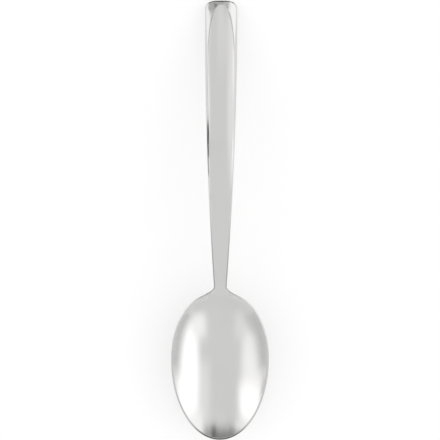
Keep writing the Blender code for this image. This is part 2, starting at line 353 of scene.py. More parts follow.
@dataclass(frozen=True)
class Bowl:
    """Sizes of the dish, its rim and its heel."""

    depth: float = 7.8 * MM
    floor: float = 1.3 * MM             # wall at the deepest point
    rim_width: float = 0.7 * MM
    rim_drop: float = 0.45 * MM         # from the rim's inner edge down to its outer edge
    rim_start: float = math.radians(-25.0)  # the rim rises from its inner edge before it rolls over
    runout_depth: float = 0.55 * MM     # the dish is still this deep where it leaves the oval for the neck
    ground_and_shade_tip: float = 7.0 * MM        # the rim is left ground and darkened with painted shade over this length at the tip
    ground_and_shade_rim: float = 0.18            # how far the rest of the rim is left ground and darkened with painted shade
    ground_and_shade_rise: Limits = (-0.15, 0.3)  # part of the edge's width over which the grinding and its painted shade come in
    heel_length: float = 13.0 * MM
    heel_width: float = 9.0 * MM
    heel_blend: float = 1.2 * MM
    heel_fade: float = 2.0              # power of the heel's bell-shaped section
    heel_power: float = 2.6             # higher joins heel and bowl more tightly


@dataclass(frozen=True)
class Handle:
    """Sizes of the neck and handle: their thickness, sides and flat top."""

    neck_thickness: float = 3.7 * MM
    neck_edge: float = 0.5 * MM         # rolled edge beside the flat top, seen from above
    neck_drop: float = 0.6 * MM         # from the flat top down to the widest line of the side
    thickness: float = 4.6 * MM
    edge: float = 0.95 * MM
    drop: float = 2.0 * MM
    end_drop: float = 0.68 * MM         # the drop at the middle of the handle's end
    end_ramp: float = 3.0 * MM          # length over which the drop changes to that
    underside_power: float = 2.2
    flat_setback: float = 1.65 * MM     # the flat top ends this far from the handle's end
    flat_arch: float = 22.0 * MM        # length over which it narrows to its arched end
    flat_arch_power: float = 2.3
    flat_tip: float = 0.4 * MM          # height of the arch's blunt tip
    crown: float = 0.9 * MM             # the top swells this much across its width at the handle's end
    edge_start: float = math.radians(22.0)  # the edge leaves the flat top with a crease
    bevel: float = 0.9                  # how straight the edge falls before it rolls over
    arch_bevel: float = 0.6             # the same beside the arch
    end_bevel: float = 0.85             # and at the handle's end
    ground_and_shade_neck: float = 0.55           # how far the edge beside the neck is left ground and darkened with painted shade
    crease_shade_and_roughness: float = 0.34           # how far the crease of the arch is made rougher and darkened with painted shade
    crease_width: float = 0.28 * MM     # on either side of it
    crease_fade: float = 5.0 * MM       # the line fades out over this length at the arch's tip


@dataclass(frozen=True)
class Fineness:
    """Counts and corners of the fine mesh, and how it comes to rest."""

    columns: int = 56
    tip_rows: int = 48
    rear_rows: int = 42
    flare_rows: int = 36
    handle_rows: int = 80
    arch_rows: int = 56
    arch_crowd: float = 2.4             # rows crowd towards the handle's end
    edge_rows: int = 10
    end_bow_power: float = 4.0          # only the last rows bend round the handle's end
    tip_corner: float = math.radians(58.0)  # where the grid's corners sit on the oval, from its widest line
    end_corner: float = 0.8             # where they sit on the rounded end, as a part of its length
    settle_steps: int = 4               # turns that bring the spoon to rest
    rest_flat: float = 0.06 * MM        # depth of the small flats that the spoon rests on


class Skin(Enum):
    """The two skins of the spoon."""

    UPPER = "upper"
    LOWER = "lower"


@dataclass(frozen=True)
class SpoonForm:
    """The spoon's surface as heights over its plan."""

    plan: Outline = field(default_factory=Outline)
    side: SideView = field(default_factory=SideView)
    bowl: Bowl = field(default_factory=Bowl)
    handle: Handle = field(default_factory=Handle)

    @cached_property
    def top_line(self) -> SmoothCurve:
        """Return the top line's height along the spoon."""
        return self.side.line(self.plan)

    @property
    def arch_tip_y(self) -> float:
        """Return the place of the arch's tip on the flat top."""
        return self.plan.end_y - self.handle.flat_setback

    @property
    def arch_y(self) -> float:
        """Return the place where the flat top begins to narrow to its arch."""
        return self.arch_tip_y - self.handle.flat_arch

    @property
    def rim_end_y(self) -> float:
        """Return the place where the bowl's rim begins to turn into the neck's edge."""
        return self.plan.flare_y - self.plan.flare_length

    def edge_width(self, y: float) -> float:
        """Measure the rolled edge from above: the bowl's rim, or the side of the handle.

        Args:
            y: Place along the spoon.

        Returns:
            The edge's width.
        """
        plan, neck = self.plan, self.handle.neck_edge
        if y < plan.neck_y:
            return mix(self.bowl.rim_width, neck, ease(y, plan.flare_y, plan.neck_y))
        return mix(neck, self.handle.edge, ease(y, plan.neck_y, self.arch_y))

    def edge_drop(self, x: float, y: float) -> float:
        """Measure the rolled edge from the side, following the crown at the handle's end.

        Args:
            x: Place across the spoon.
            y: Place along it.

        Returns:
            The height from the top line down to the outline.
        """
        plan, handle = self.plan, self.handle
        if y < plan.neck_y:
            return mix(self.bowl.rim_drop, handle.neck_drop, ease(y, self.rim_end_y, plan.neck_y))
        side_drop = mix(handle.neck_drop, handle.drop, ease(y, plan.neck_y, plan.taper_y))
        end_drop = handle.end_drop + handle.crown * (x / self.flat_half_width(y)) ** 2
        return mix(side_drop, end_drop, self.end_ramp(y))

    def end_ramp(self, y: float) -> float:
        """Return how far the handle's side has turned into its end, from 0 to 1."""
        return ease(y, self.plan.end_y - self.handle.end_ramp, self.plan.end_y)

    def edge_start(self, y: float) -> float:
        """Return the angle at which the edge leaves the upper skin."""
        turned = ease(y, self.rim_end_y, self.plan.neck_y)
        return mix(self.bowl.rim_start, self.handle.edge_start, turned)

    def edge_bevel(self, y: float) -> float:
        """Say how straight the edge falls.

        Args:
            y: Place along the spoon.

        Returns:
            0 for the round rim, and up to 1 for a straight bevel.
        """
        handle = self.handle
        arched = ease(y, self.arch_y - handle.flat_arch, self.arch_y)
        bevel = mix(handle.bevel, handle.arch_bevel, arched)
        bevel = mix(bevel, handle.end_bevel, self.end_ramp(y))
        return bevel * ease(y, self.plan.flare_y, self.plan.neck_y)

    def ground_and_shade_share(self, y: float) -> float:
        """Say how far the edge is ground, rougher and darkened with painted shade: most at the bowl's tip,
        then beside the neck.

        Args:
            y: Place along the spoon.

        Returns:
            A share from 0 to 1.
        """
        plan = self.plan
        side = self.bowl.ground_and_shade_rim * (1.0 - ease(y, plan.widest_y, plan.flare_y))
        rim = mix(1.0, side, ease(y, plan.tip_y, plan.tip_y + self.bowl.ground_and_shade_tip))
        neck = self.handle.ground_and_shade_neck * (1.0 - ease(y, plan.neck_y, self.side.crest_y))
        return mix(rim, neck, ease(y, plan.flare_y, plan.neck_y))

    def crease_shade_and_roughness_share(self, y: float, distance: float) -> float:
        """Say how far the arch's crease is made rougher and darkened with painted shade.

        Args:
            y: Place along the spoon.
            distance: How far from the crease.

        Returns:
            A share from 0 to 1.
        """
        handle = self.handle
        start = ease(y, self.arch_y, self.arch_y + handle.flat_arch / 2)
        stop = 1.0 - ease(y, self.arch_tip_y - handle.crease_fade, self.arch_tip_y)
        return handle.crease_shade_and_roughness * start * stop * (1.0 - ease(distance, 0.0, handle.crease_width))

    def flat_half_width(self, y: float) -> float:
        """Measure the upper skin inside the edge, without the arched end of the flat top.

        Args:
            y: Place along the spoon.

        Returns:
            Half its width.
        """
        if y < self.plan.widest_y:
            return self.plan.oval_half_width(y, self.bowl.rim_width)
        width, slope, _ = rates(self.plan.side_half_width, y)
        return width - self.edge_width(y) * math.hypot(1.0, slope)

    def inner_half_width(self, y: float) -> float:
        """Return half the width inside the edge: to the rim's inner line or the flat top's crease."""
        arch = clamp((y - self.arch_y) / self.handle.flat_arch)
        return self.flat_half_width(y) * rounded(arch, self.handle.flat_arch_power)

    def dish_depth(self, y: float) -> float:
        """Measure the dish, which runs out softly up the neck.

        Args:
            y: Place along the spoon.

        Returns:
            Its depth on the centre line.
        """
        depth = self.bowl.depth * self.plan.oval_room(y, self.bowl.rim_width)
        if y < self.plan.widest_y:
            return depth
        soft = self.bowl.runout_depth * ease(y, self.plan.widest_y, self.plan.neck_y)
        return (depth + math.hypot(depth, 2.0 * soft)) / 2

    def top_height(self, x: float, y: float) -> float:
        """Shape the upper skin: the dish, the neck and the crowned top of the handle.

        Args:
            x: Place across the spoon.
            y: Place along it.

        Returns:
            The skin's height.
        """
        if y < self.plan.widest_y:
            across = self.bowl.depth * (x / (self.plan.half_bowl - self.bowl.rim_width)) ** 2
            return self.top_line(y) - self.dish_depth(y) + across
        across = (x / self.flat_half_width(y)) ** 2
        crown = self.handle.crown * ease(y, self.plan.neck_y, self.arch_y)
        return self.top_line(y) - self.dish_depth(y) * (1.0 - across) - crown * across

    def side_height(self, x: float, y: float) -> float:
        """Return the outline's height."""
        return self.top_line(y) - self.edge_drop(x, y)

    def bar_half_width(self, y: float) -> float:
        """Measure the handle's underside, which spreads as a heel on the back of the bowl.

        Args:
            y: Place along the spoon.

        Returns:
            Half its width.
        """
        width = self.plan.side_half_width(y)
        if y > self.plan.neck_y:
            return width
        spread = max(width, self.plan.neck_width / 2)
        return soft_min(spread, self.bowl.heel_width / 2, self.bowl.heel_blend)

    def back_depth(self, x: float, y: float) -> float:
        """Shape the back of the bowl.

        Args:
            x: Place across the spoon.
            y: Place along it.

        Returns:
            How far the back lies below the outline.
        """
        deep = self.bowl.depth + self.bowl.floor - self.bowl.rim_drop
        back = deep * max(self.plan.oval_room(y), 0.0)
        if y < self.plan.widest_y:
            return max(back - deep * (x / self.plan.half_bowl) ** 2, 0.0)
        return max(back * (1.0 - (x / self.plan.side_half_width(y)) ** 2), 0.0)

    def bar_depth(self, x: float, y: float) -> float:
        """Shape the handle's underside and the heel.

        Args:
            x: Place across the spoon.
            y: Place along it.

        Returns:
            How far they lie below the outline.
        """
        plan, bowl, handle = self.plan, self.bowl, self.handle
        thick = mix(handle.neck_thickness, handle.thickness, ease(y, plan.neck_y, plan.end_y))
        thick -= self.edge_drop(x, y)
        across = min(abs(x) / self.bar_half_width(y), 1.0)
        room = max(1.0 - across ** plan.end_power - plan.end_share(y) ** plan.end_power, 0.0)
        necked = ease(y, plan.flare_y, plan.neck_y)
        fullness = mix(bowl.heel_fade, 1.0 / handle.underside_power, necked)
        return thick * room ** fullness * ease(y, plan.neck_y - bowl.heel_length, plan.neck_y)

    def bottom_height(self, x: float, y: float) -> float:
        """Shape the lower skin: the back of the bowl, the heel and the handle's underside.

        Args:
            x: Place across the spoon.
            y: Place along it.

        Returns:
            The skin's height.
        """
        power = self.bowl.heel_power
        depth = (self.back_depth(x, y) ** power + self.bar_depth(x, y) ** power) ** (1.0 / power)
        return self.side_height(x, y) - depth


@dataclass(frozen=True)
class Row:
    """One crosswise line of both skins, with its ends on the crease or rim and on the outline."""

    form: SpoonForm
    mesh: Fineness
    inner_y: float
    outer_y: float
    tip_bow: float = 0.0                # how far the row bends round the bowl's tip
    end_bow: float = 0.0                # how far it bends round the handle's end

    @cached_property
    def inner_x(self) -> float:
        """Return half the row's width on the upper skin."""
        return self.form.inner_half_width(self.inner_y)

    @cached_property
    def outer_x(self) -> float:
        """Return half the row's width at the outline."""
        return self.form.plan.half_width(self.outer_y)

    def column(self, u: float) -> float:
        """Spread the columns evenly in the bowl, to the middle on the flare and to the sides on the handle.

        Args:
            u: Column, from -1 to 1.

        Returns:
            Its place on the row, from -1 to 1.
        """
        plan = self.form.plan
        inwards, outwards = u * abs(u), math.sin(u * math.pi / 2)
        flared = mix(u, inwards, ease(self.outer_y, plan.widest_y, plan.flare_y))
        return mix(flared, outwards, ease(self.outer_y, plan.flare_y, plan.neck_y))

    def tip_shift(self, place: float, inset: float) -> float:
        """Bend the row round the bowl's tip.

        Args:
            place: Place on the row, from -1 to 1.
            inset: How far inside the outline the row ends.

        Returns:
            How far the point moves along the spoon.
        """
        plan = self.form.plan
        corner = (plan.half_bowl - inset) * math.cos(self.mesh.tip_corner)
        return self.tip_bow * (plan.tip_reach(place * corner, inset) - plan.tip_reach(corner, inset))

    def end_shift(self, place: float) -> float:
        """Bend the row round the handle's end.

        Args:
            place: Place on the row, from -1 to 1.

        Returns:
            How far the point moves along the spoon.
        """
        plan = self.form.plan
        corner = plan.half_width(plan.round_y + self.mesh.end_corner * plan.end_round)
        return self.end_bow * (plan.end_reach(place * corner) - plan.end_reach(corner))

    def upper(self, u: float) -> Vector:
        """Find a point of the upper skin.

        Args:
            u: Column, from -1 to 1.

        Returns:
            The point.
        """
        place = self.column(u)
        x = place * self.inner_x
        y = self.inner_y + self.tip_shift(place, self.form.bowl.rim_width)
        y += self.end_bow * self.form.handle.flat_tip * (1.0 - place ** 2)
        return Vector((x, y, self.form.top_height(x, y)))

    def lower(self, u: float, on_outline: bool) -> Vector:
        """Find a point of the lower skin.

        Args:
            u: Column, from -1 to 1.
            on_outline: Whether the point lies where the two skins' edges meet.

        Returns:
            The point.
        """
        place = self.column(u)
        x = place * self.outer_x
        y = self.outer_y + self.tip_shift(place, 0.0)
        y += self.end_shift(place)
        height = self.form.side_height if on_outline else self.form.bottom_height
        return Vector((x, y, height(x, y)))

    def edge(self, u: float, share: float) -> Vector:
        """Find a point of the rolled edge.

        Args:
            u: Column, from -1 to 1.
            share: 0 on the upper skin, 1 on the outline.

        Returns:
            The point.
        """
        start = self.form.edge_start(self.inner_y)
        angle = mix(start, math.pi / 2, share)
        out = (math.sin(angle) - math.sin(start)) / (1.0 - math.sin(start))
        down = (math.cos(start) - math.cos(angle)) / math.cos(start)
        down = mix(down, out, self.form.edge_bevel(self.inner_y))
        inner, outer = self.upper(u), self.lower(u, on_outline=True)
        plan = inner.lerp(outer, out)
        return Vector((plan.x, plan.y, mix(inner.z, outer.z, down)))


class Shade:
    """A shader socket, on which the operators of arithmetic add Math nodes."""

    def __init__(self, tree: "ShaderTree", socket: NodeSocket) -> None:
        """Wrap a node's output.

        Args:
            tree: The tree that the socket belongs to.
            socket: The output socket.
        """
        self.tree = tree
        self.socket = socket

    def __add__(self, other: "Shade | float") -> "Shade":
        """Add."""
        return self.tree.math("ADD", self, other)

    def __sub__(self, other: "Shade | float") -> "Shade":
        """Subtract."""
        return self.tree.math("SUBTRACT", self, other)

    def __rsub__(self, other: float) -> "Shade":
        """Subtract from a number."""
        return self.tree.math("SUBTRACT", other, self)

    def __mul__(self, other: "Shade | float") -> "Shade":
        """Multiply."""
        return self.tree.math("MULTIPLY", self, other)

    def __truediv__(self, other: "Shade | float") -> "Shade":
        """Divide."""
        return self.tree.math("DIVIDE", self, other)

    def __rtruediv__(self, other: float) -> "Shade":
        """Divide a number."""
        return self.tree.math("DIVIDE", other, self)

    __radd__ = __add__
    __rmul__ = __mul__

    def step(self, start: float, stop: float) -> "Shade":
        """Rise softly from 0 at start to 1 at stop."""
        return self.tree.node("ShaderNodeMapRange", {"interpolation_type": "SMOOTHSTEP"},
                              {"Value": self, "From Min": start, "From Max": stop}, "Result")


class ShaderTree:
    """A node tree under construction."""

    def __init__(self, owner: Material | World) -> None:
        """Start the owner's tree afresh.

        Args:
            owner: The material or world to build.
        """
        owner.use_nodes = True
        self.tree = owner.node_tree
        self.tree.nodes.clear()

    def node(self, kind: str, settings: dict[str, Any], inputs: dict[str | int, Any],
             output: str | int = 0) -> Shade:
        """Add a node.

        Args:
            kind: The node's type.
            settings: Its own settings, which are set first.
            inputs: Values or links of its sockets, by name or place.
            output: The output to hand on, by name or place.

        Returns:
            That output.
        """
        made = self.tree.nodes.new(kind)
        for name, value in settings.items():
            setattr(made, name, value)
        for name, value in inputs.items():
            if isinstance(value, Shade):
                self.tree.links.new(value.socket, made.inputs[name])
            else:
                made.inputs[name].default_value = value
        return Shade(self, made.outputs[output] if made.outputs else None)

    def math(self, operation: str, *values: Shade | float) -> Shade:
        """Add a Math node."""
        return self.node("ShaderNodeMath", {"operation": operation}, dict(enumerate(values)))

    def attribute(self, name: str) -> Shade:
        """Read one of the piece's own attributes."""
        return self.node("ShaderNodeAttribute", {"attribute_name": name}, {}, "Fac")

    def outputs(self, first: Shade) -> tuple[Shade, ...]:
        """Return all outputs of the node that a first one comes from."""
        return tuple(Shade(self, socket) for socket in first.socket.node.outputs)

    def between(self, first: Shade | float, second: Shade | float, share: Shade) -> Shade:
        """Go from one value to another by a share."""
        return self.node("ShaderNodeMix", {"data_type": "FLOAT"}, {0: share, 2: first, 3: second})

    def blend(self, first: Shade | Colour, second: Colour, share: Shade) -> Shade:
        """Go from one colour to another by a share."""
        first, second = (item if isinstance(item, Shade) else (*item, 1.0) for item in (first, second))
        return self.node("ShaderNodeMix", {"data_type": "RGBA"}, {0: share, 6: first, 7: second}, 2)

    def noise(self, place: Shade, scale: float = 1.0, detail: float = 0.0) -> Shade:
        """Add a soft noise, from 0 to 1."""
        inputs = {"Vector": place, "Scale": scale, "Detail": detail}
        return self.node("ShaderNodeTexNoise", {}, inputs, "Fac")

    def stretched(self, place: Shade, scale: tuple[float, float, float], turn: float = 0.0) -> Shade:
        """Turn a place about Z and scale it, to draw a pattern out."""
        rotation = (0.0, 0.0, math.radians(turn))
        return self.node("ShaderNodeMapping", {}, {"Vector": place, "Rotation": rotation, "Scale": scale})


@dataclass(frozen=True)
class PolishedSteel:
    """Stainless steel: mirror-like on the handle and the back, brushed to a satin inside the bowl.

    The rim, the edge beside the neck and the arch's crease are left more or less ground: rougher, and
    darkened with painted shade.
    """

    colour: Colour = (0.665, 0.662, 0.655)
    dull_colour: Colour = (0.640, 0.637, 0.630)         # under smudges and scratches
    # painted shade on the ground rim, the edge beside the neck and the arch's crease
    painted_shade_colour: Colour = (0.150, 0.148, 0.145)
    polish: float = 0.09                # roughness of the handle
    satin: float = 0.18                 # roughness inside the bowl
    ground: float = 0.50                # roughness of the ground edge
    ground_full: float = 0.2            # an edge that is ground this far has that roughness in full
    line_width: float = 0.12 * MM       # polishing lines run along the spoon
    line_length: float = 40.0 * MM
    line_depth: float = 0.0002 * MM
    line_detail: float = 2.0
    line_rough: float = 0.03            # change of roughness from line to line
    dish_line_rough: float = 0.04       # what the satin adds to that
    line_share: float = 0.35            # depth of the lines, to which the satin adds 1
    scratch_width: float = 0.05 * MM
    scratch_length: float = 5.0 * MM
    scratch_turns: tuple[float, float] = (24.0, -37.0)  # the scratches run in two directions
    scratch_limits: Limits = (0.76, 0.82)               # noise that makes a scratch
    scratch_rough: float = 0.10
    scratch_share: float = 1.5          # depth of a scratch, beside the lines'
    scratch_dull: float = 0.4           # how far a scratch takes the dull colour
    smudge_size: float = 16.0 * MM
    smudge_detail: float = 3.0
    smudge_limits: Limits = (0.45, 0.75)                # noise that makes a smudge
    smudge_rough: float = 0.05
    smudge_dull: float = 0.6            # how far a smudge takes the dull colour

    def material(self) -> Material:
        """Make the steel.

        Returns:
            The material, which reads the piece's own attributes for the dish and for the ground edge with
            its painted shade.
        """
        steel = bpy.data.materials.new("polished_steel")
        tree = ShaderTree(steel)
        place = tree.node("ShaderNodeTexCoord", {}, {}, "Object")
        # the ground attribute makes the edge rougher and carries its painted shade
        dish, ground = tree.attribute(DISH), tree.attribute(GROUND_AND_SHADE)
        lines = self.polishing_lines(tree, place)
        scratches = self.scratches(tree, place)
        smudges = tree.noise(place, 1.0 / self.smudge_size, self.smudge_detail)
        rough = dish * (self.satin - self.polish) + self.polish
        rough = rough + (lines - NOISE_MIDDLE) * (self.line_rough + dish * self.dish_line_rough)
        rough = rough + (smudges - NOISE_MIDDLE) * self.smudge_rough + scratches * self.scratch_rough
        rough = tree.between(rough, self.ground, ground.step(0.0, self.ground_full))
        dull = smudges.step(*self.smudge_limits) * self.smudge_dull + scratches * self.scratch_dull
        colour = tree.blend(self.colour, self.dull_colour, dull)
        # painted shade darkens the rim, the edge beside the neck and the arch's crease
        colour = tree.blend(colour, self.painted_shade_colour, ground)
        height = lines * (self.line_share + dish) - scratches * self.scratch_share
        bump = tree.node("ShaderNodeBump", {}, {"Height": height, "Distance": self.line_depth})
        shader = tree.node("ShaderNodeBsdfPrincipled", {}, {
            "Base Color": colour, "Metallic": 1.0, "Roughness": rough, "Normal": bump})
        tree.node("ShaderNodeOutputMaterial", {}, {"Surface": shader})
        return steel

    def polishing_lines(self, tree: ShaderTree, place: Shade) -> Shade:
        """Draw the fine lines that polishing leaves along the spoon.

        Args:
            tree: The material's tree.
            place: Object coordinates.

        Returns:
            A value around 0.5 that changes quickly across and slowly along.
        """
        across, along = 1.0 / self.line_width, 1.0 / self.line_length
        return tree.noise(tree.stretched(place, (across, along, across)), detail=self.line_detail)

    def scratches(self, tree: ShaderTree, place: Shade) -> Shade:
        """Draw the few hairline scratches of use, in two directions.

        Args:
            tree: The material's tree.
            place: Object coordinates.

        Returns:
            1 on a scratch and 0 beside it.
        """
        scale = (1.0 / self.scratch_width, 1.0 / self.scratch_length, 0.0)
        first, second = (tree.noise(tree.stretched(place, scale, turn)).step(*self.scratch_limits)
                         for turn in self.scratch_turns)
        return tree.math("MAXIMUM", first, second)


@dataclass(frozen=True)
class PaleFloor:
    """A matt, finely grained floor, which stays white around the spoon's soft shadow."""

    colour: Colour = (0.97, 0.97, 0.97)
    roughness: float = 0.9
    glow: float = 0.5                   # share of the floor's white that no shadow reaches
    white: float = 1.08                 # strength of that share
    grain: float = 900.0                # grains a metre
    grain_detail: float = 2.0
    grain_depth: float = 0.01 * MM
    grain_strength: float = 0.3

    def material(self) -> Material:
        """Make the floor's white.

        Returns:
            The material, which glows only where the camera sees it or the steel reflects it.
        """
        paper = bpy.data.materials.new("pale_floor")
        tree = ShaderTree(paper)
        seen = tree.node("ShaderNodeLightPath", {}, {}, "Is Camera Ray")
        rays = seen.socket.node.outputs
        for name in ("Is Glossy Ray", "Is Transmission Ray"):
            seen = tree.math("MAXIMUM", seen, Shade(tree, rays[name]))
        place = tree.node("ShaderNodeTexCoord", {}, {}, "Object")
        grain = tree.noise(place, self.grain, self.grain_detail)
        bump = tree.node("ShaderNodeBump", {}, {
            "Height": grain, "Distance": self.grain_depth, "Strength": self.grain_strength})
        matt = tree.node("ShaderNodeBsdfPrincipled", {}, {
            "Base Color": (*self.colour, 1.0), "Roughness": self.roughness, "Specular IOR Level": 0.0,
            "Normal": bump})
        white = tree.node("ShaderNodeEmission", {}, {"Strength": self.white})
        mixed = tree.node("ShaderNodeMixShader", {}, {0: seen * self.glow, 1: matt, 2: white})
        tree.node("ShaderNodeOutputMaterial", {}, {"Surface": mixed})
        return paper


@dataclass(frozen=True)
class Teaspoon:
    """The teaspoon: one forged piece, from the tip of its bowl to the end of its handle."""

    form: SpoonForm = field(default_factory=SpoonForm)
    mesh: Fineness = field(default_factory=Fineness)
    finish: PolishedSteel = field(default_factory=PolishedSteel)

    def rows(self) -> list[Row]:
        """Space the rows from the tip to the handle's end, closest where the shape turns fastest.

        Returns:
            The rows, in order of y.
        """
        form, plan, mesh = self.form, self.form.plan, self.mesh
        rows = []
        for i in range(mesh.tip_rows, 0, -1):
            share = i / mesh.tip_rows
            ahead = math.sin(mesh.tip_corner * share)
            inner_y = plan.widest_y - (plan.bowl_front - form.bowl.rim_width) * ahead
            outer_y = plan.widest_y - plan.bowl_front * ahead
            rows.append(Row(form, mesh, inner_y, outer_y, tip_bow=share ** 2))
        rear_turn = math.asin((plan.flare_y - plan.widest_y) / plan.bowl_rear)
        rear = [plan.widest_y + plan.bowl_rear * math.sin(rear_turn * i / mesh.rear_rows)
                for i in range(mesh.rear_rows)]
        flare = [mix(plan.flare_y, plan.neck_y, i / mesh.flare_rows) for i in range(mesh.flare_rows)]
        bar = [mix(plan.neck_y, form.arch_y, i / mesh.handle_rows) for i in range(mesh.handle_rows)]
        rows += [Row(form, mesh, y, y) for y in rear + flare + bar]
        for i in range(mesh.arch_rows + 1):
            share = i / mesh.arch_rows
            crowded = 1.0 - (1.0 - share) ** mesh.arch_crowd
            inner_y = mix(form.arch_y, form.arch_tip_y - form.handle.flat_tip, crowded)
            outer_y = mix(form.arch_y, plan.round_y + mesh.end_corner * plan.end_round, crowded)
            rows.append(Row(form, mesh, inner_y, outer_y, end_bow=share ** mesh.end_bow_power))
        return rows

    @staticmethod
    def layers(shape: BMesh) -> tuple[BMLayerItem, BMLayerItem, BMLayerItem]:
        """Return the mesh's layers for the place, the dish and the ground edge with its painted shade."""
        vectors, numbers = shape.verts.layers.float_vector, shape.verts.layers.float
        return vectors[PLACE], numbers[DISH], numbers[GROUND_AND_SHADE]

    def add_skin(self, shape: BMesh, rows: list[Row], skin: Skin) -> list[BMVert]:
        """Add a grid and shape it into one skin.

        Args:
            shape: The mesh that gets the skin.
            rows: The rows to follow.
            skin: Which skin to make.

        Returns:
            The skin's vertices, with their column and row kept in the layer for the place.
        """
        place, dish, ground = self.layers(shape)
        form, last = self.form, len(rows) - 1
        grid = bmesh.ops.create_grid(shape, x_segments=self.mesh.columns, y_segments=last, size=1.0)
        for vertex in grid["verts"]:
            u = vertex.co.x
            index = round((vertex.co.y + 1.0) / 2.0 * last)
            vertex[place] = Vector((u, index, 0.0))
            if skin is Skin.UPPER:
                vertex.co = rows[index].upper(u)
                vertex[dish] = 1.0 - ease(vertex.co.y, form.plan.flare_y, form.plan.neck_y)
                # painted shade and roughness along the arch's crease
                inside = min(rows[index].inner_x - abs(vertex.co.x), rows[last].upper(u).y - vertex.co.y)
                vertex[ground] = form.crease_shade_and_roughness_share(vertex.co.y, inside)
            else:
                on_outline = abs(u) > 1.0 - BORDER_SLACK or index in (0, last)
                vertex.co = rows[index].lower(u, on_outline)
                # the outline gets the ground edge's roughness and painted shade
                vertex[ground] = form.ground_and_shade_share(vertex.co.y) if on_outline else 0.0
        return grid["verts"]

    def roll_edge(self, shape: BMesh, rows: list[Row], skin: list[BMVert]) -> None:
        """Extrude the upper skin's border outwards and down, row by row, to the outline.

        Args:
            shape: The mesh that holds the upper skin.
            rows: The rows that the skin follows.
            skin: The skin's vertices.
        """
        place, dish, ground = self.layers(shape)
        form, kept = self.form, set(skin)
        crease = [edge for edge in shape.edges if edge.is_boundary and edge.verts[0] in kept]
        border = crease
        for step in range(1, self.mesh.edge_rows + 1):
            share = step / self.mesh.edge_rows
            rise = ease(share, *form.bowl.ground_and_shade_rise)
            border, made = extrude(shape, border)
            for vertex in made:
                u, index, _ = vertex[place]
                row = rows[round(index)]
                vertex.co = row.edge(u, share)
                vertex[dish] = 0.0
                outside = (vertex.co - row.upper(u)).xy.length
                along = vertex.co.y
                # roughness and painted shade of the ground edge and the arch's crease
                vertex[ground] = form.ground_and_shade_share(along) * rise + form.crease_shade_and_roughness_share(along, outside)
        for edge in crease:
            edge.smooth = False

    def lay_down(self, shape: BMesh) -> None:
        """Turn, lower and centre the spoon until the bowl's back and the handle's end reach the table.

        Args:
            shape: The mesh to move.
        """
        neck_y, crest_y = self.form.plan.neck_y, self.form.side.crest_y
        for _ in range(self.mesh.settle_steps):
            bowl = min((v.co for v in shape.verts if v.co.y < neck_y), key=lambda co: co.z).copy()
            handle = min((v.co for v in shape.verts if v.co.y > crest_y), key=lambda co: co.z).copy()
            tilt = math.atan2(handle.z - bowl.z, handle.y - bowl.y)
            turn = Matrix.Rotation(-tilt, 4, "X") @ Matrix.Translation(-bowl)
            bmesh.ops.transform(shape, matrix=turn, verts=shape.verts)
            along = [v.co.y for v in shape.verts]
            lowest = min(v.co.z for v in shape.verts)
            shift = (0.0, -(min(along) + max(along)) / 2, -self.mesh.rest_flat - lowest)
            bmesh.ops.translate(shape, vec=shift, verts=shape.verts)

    def cut_flats(self, shape: BMesh) -> None:
        """Cut the small flats that the spoon rests on, at the height of the table.

        Args:
            shape: The mesh to cut.
        """
        everything = shape.verts[:] + shape.edges[:] + shape.faces[:]
        bmesh.ops.bisect_plane(shape, geom=everything, dist=CUT_DISTANCE, plane_co=(0, 0, 0),
                               plane_no=(0, 0, -1), clear_outer=True)
        bmesh.ops.holes_fill(shape, edges=[edge for edge in shape.edges if edge.is_boundary])

    def build(self) -> Object:
        """Model the spoon.

        Returns:
            The spoon's object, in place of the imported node.
        """
        rows = self.rows()
        shape = bmesh.new()
        shape.verts.layers.float_vector.new(PLACE)
        shape.verts.layers.float.new(DISH)
        shape.verts.layers.float.new(GROUND_AND_SHADE)
        upper = self.add_skin(shape, rows, Skin.UPPER)
        self.roll_edge(shape, rows, upper)
        self.add_skin(shape, rows, Skin.LOWER)
        bmesh.ops.remove_doubles(shape, verts=shape.verts, dist=WELD_DISTANCE)
        self.lay_down(shape)
        self.cut_flats(shape)
        bmesh.ops.recalc_face_normals(shape, faces=shape.faces)
        for face in shape.faces:
            face.smooth = True
        spoon = add_object("spoon", shape)
        spoon.data.attributes.remove(spoon.data.attributes[PLACE])
        return spoon

    def dress(self, spoon: Object) -> None:
        """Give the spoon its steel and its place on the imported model.

        Args:
            spoon: The spoon's object.
        """
        spoon.data.materials.append(self.finish.material())
        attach(spoon, BODY)
        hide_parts(NODE)


@dataclass(frozen=True)
class Panel:
    """A soft-edged patch of the studio's dome, lighter or darker than what lies behind it.

    The patch is a range of angles off the vertical: across the spoon, along it or in any direction.
    """

    strength: float
    across: Limits = (-OPEN, OPEN)
    along: Limits = (-OPEN, OPEN)
    tilt: Limits = (-OPEN, OPEN)
    soft: float = 6.0                   # half the width of its soft edge

    def cover(self, across: Shade, along: Shade, tilt: Shade) -> Shade:
        """Say how much of the patch a direction sees.

        Args:
            across: The direction's angle off the vertical towards +X.
            along: Its angle towards +Y.
            tilt: Its whole angle.

        Returns:
            1 inside the patch, 0 outside.
        """
        sides = []
        for angle, (low, high) in ((across, self.across), (along, self.along), (tilt, self.tilt)):
            if low > -OPEN:
                sides.append(angle.step(low - self.soft, low + self.soft))
            if high < OPEN:
                sides.append(angle.step(high + self.soft, high - self.soft))
        return reduce(operator.mul, sides)


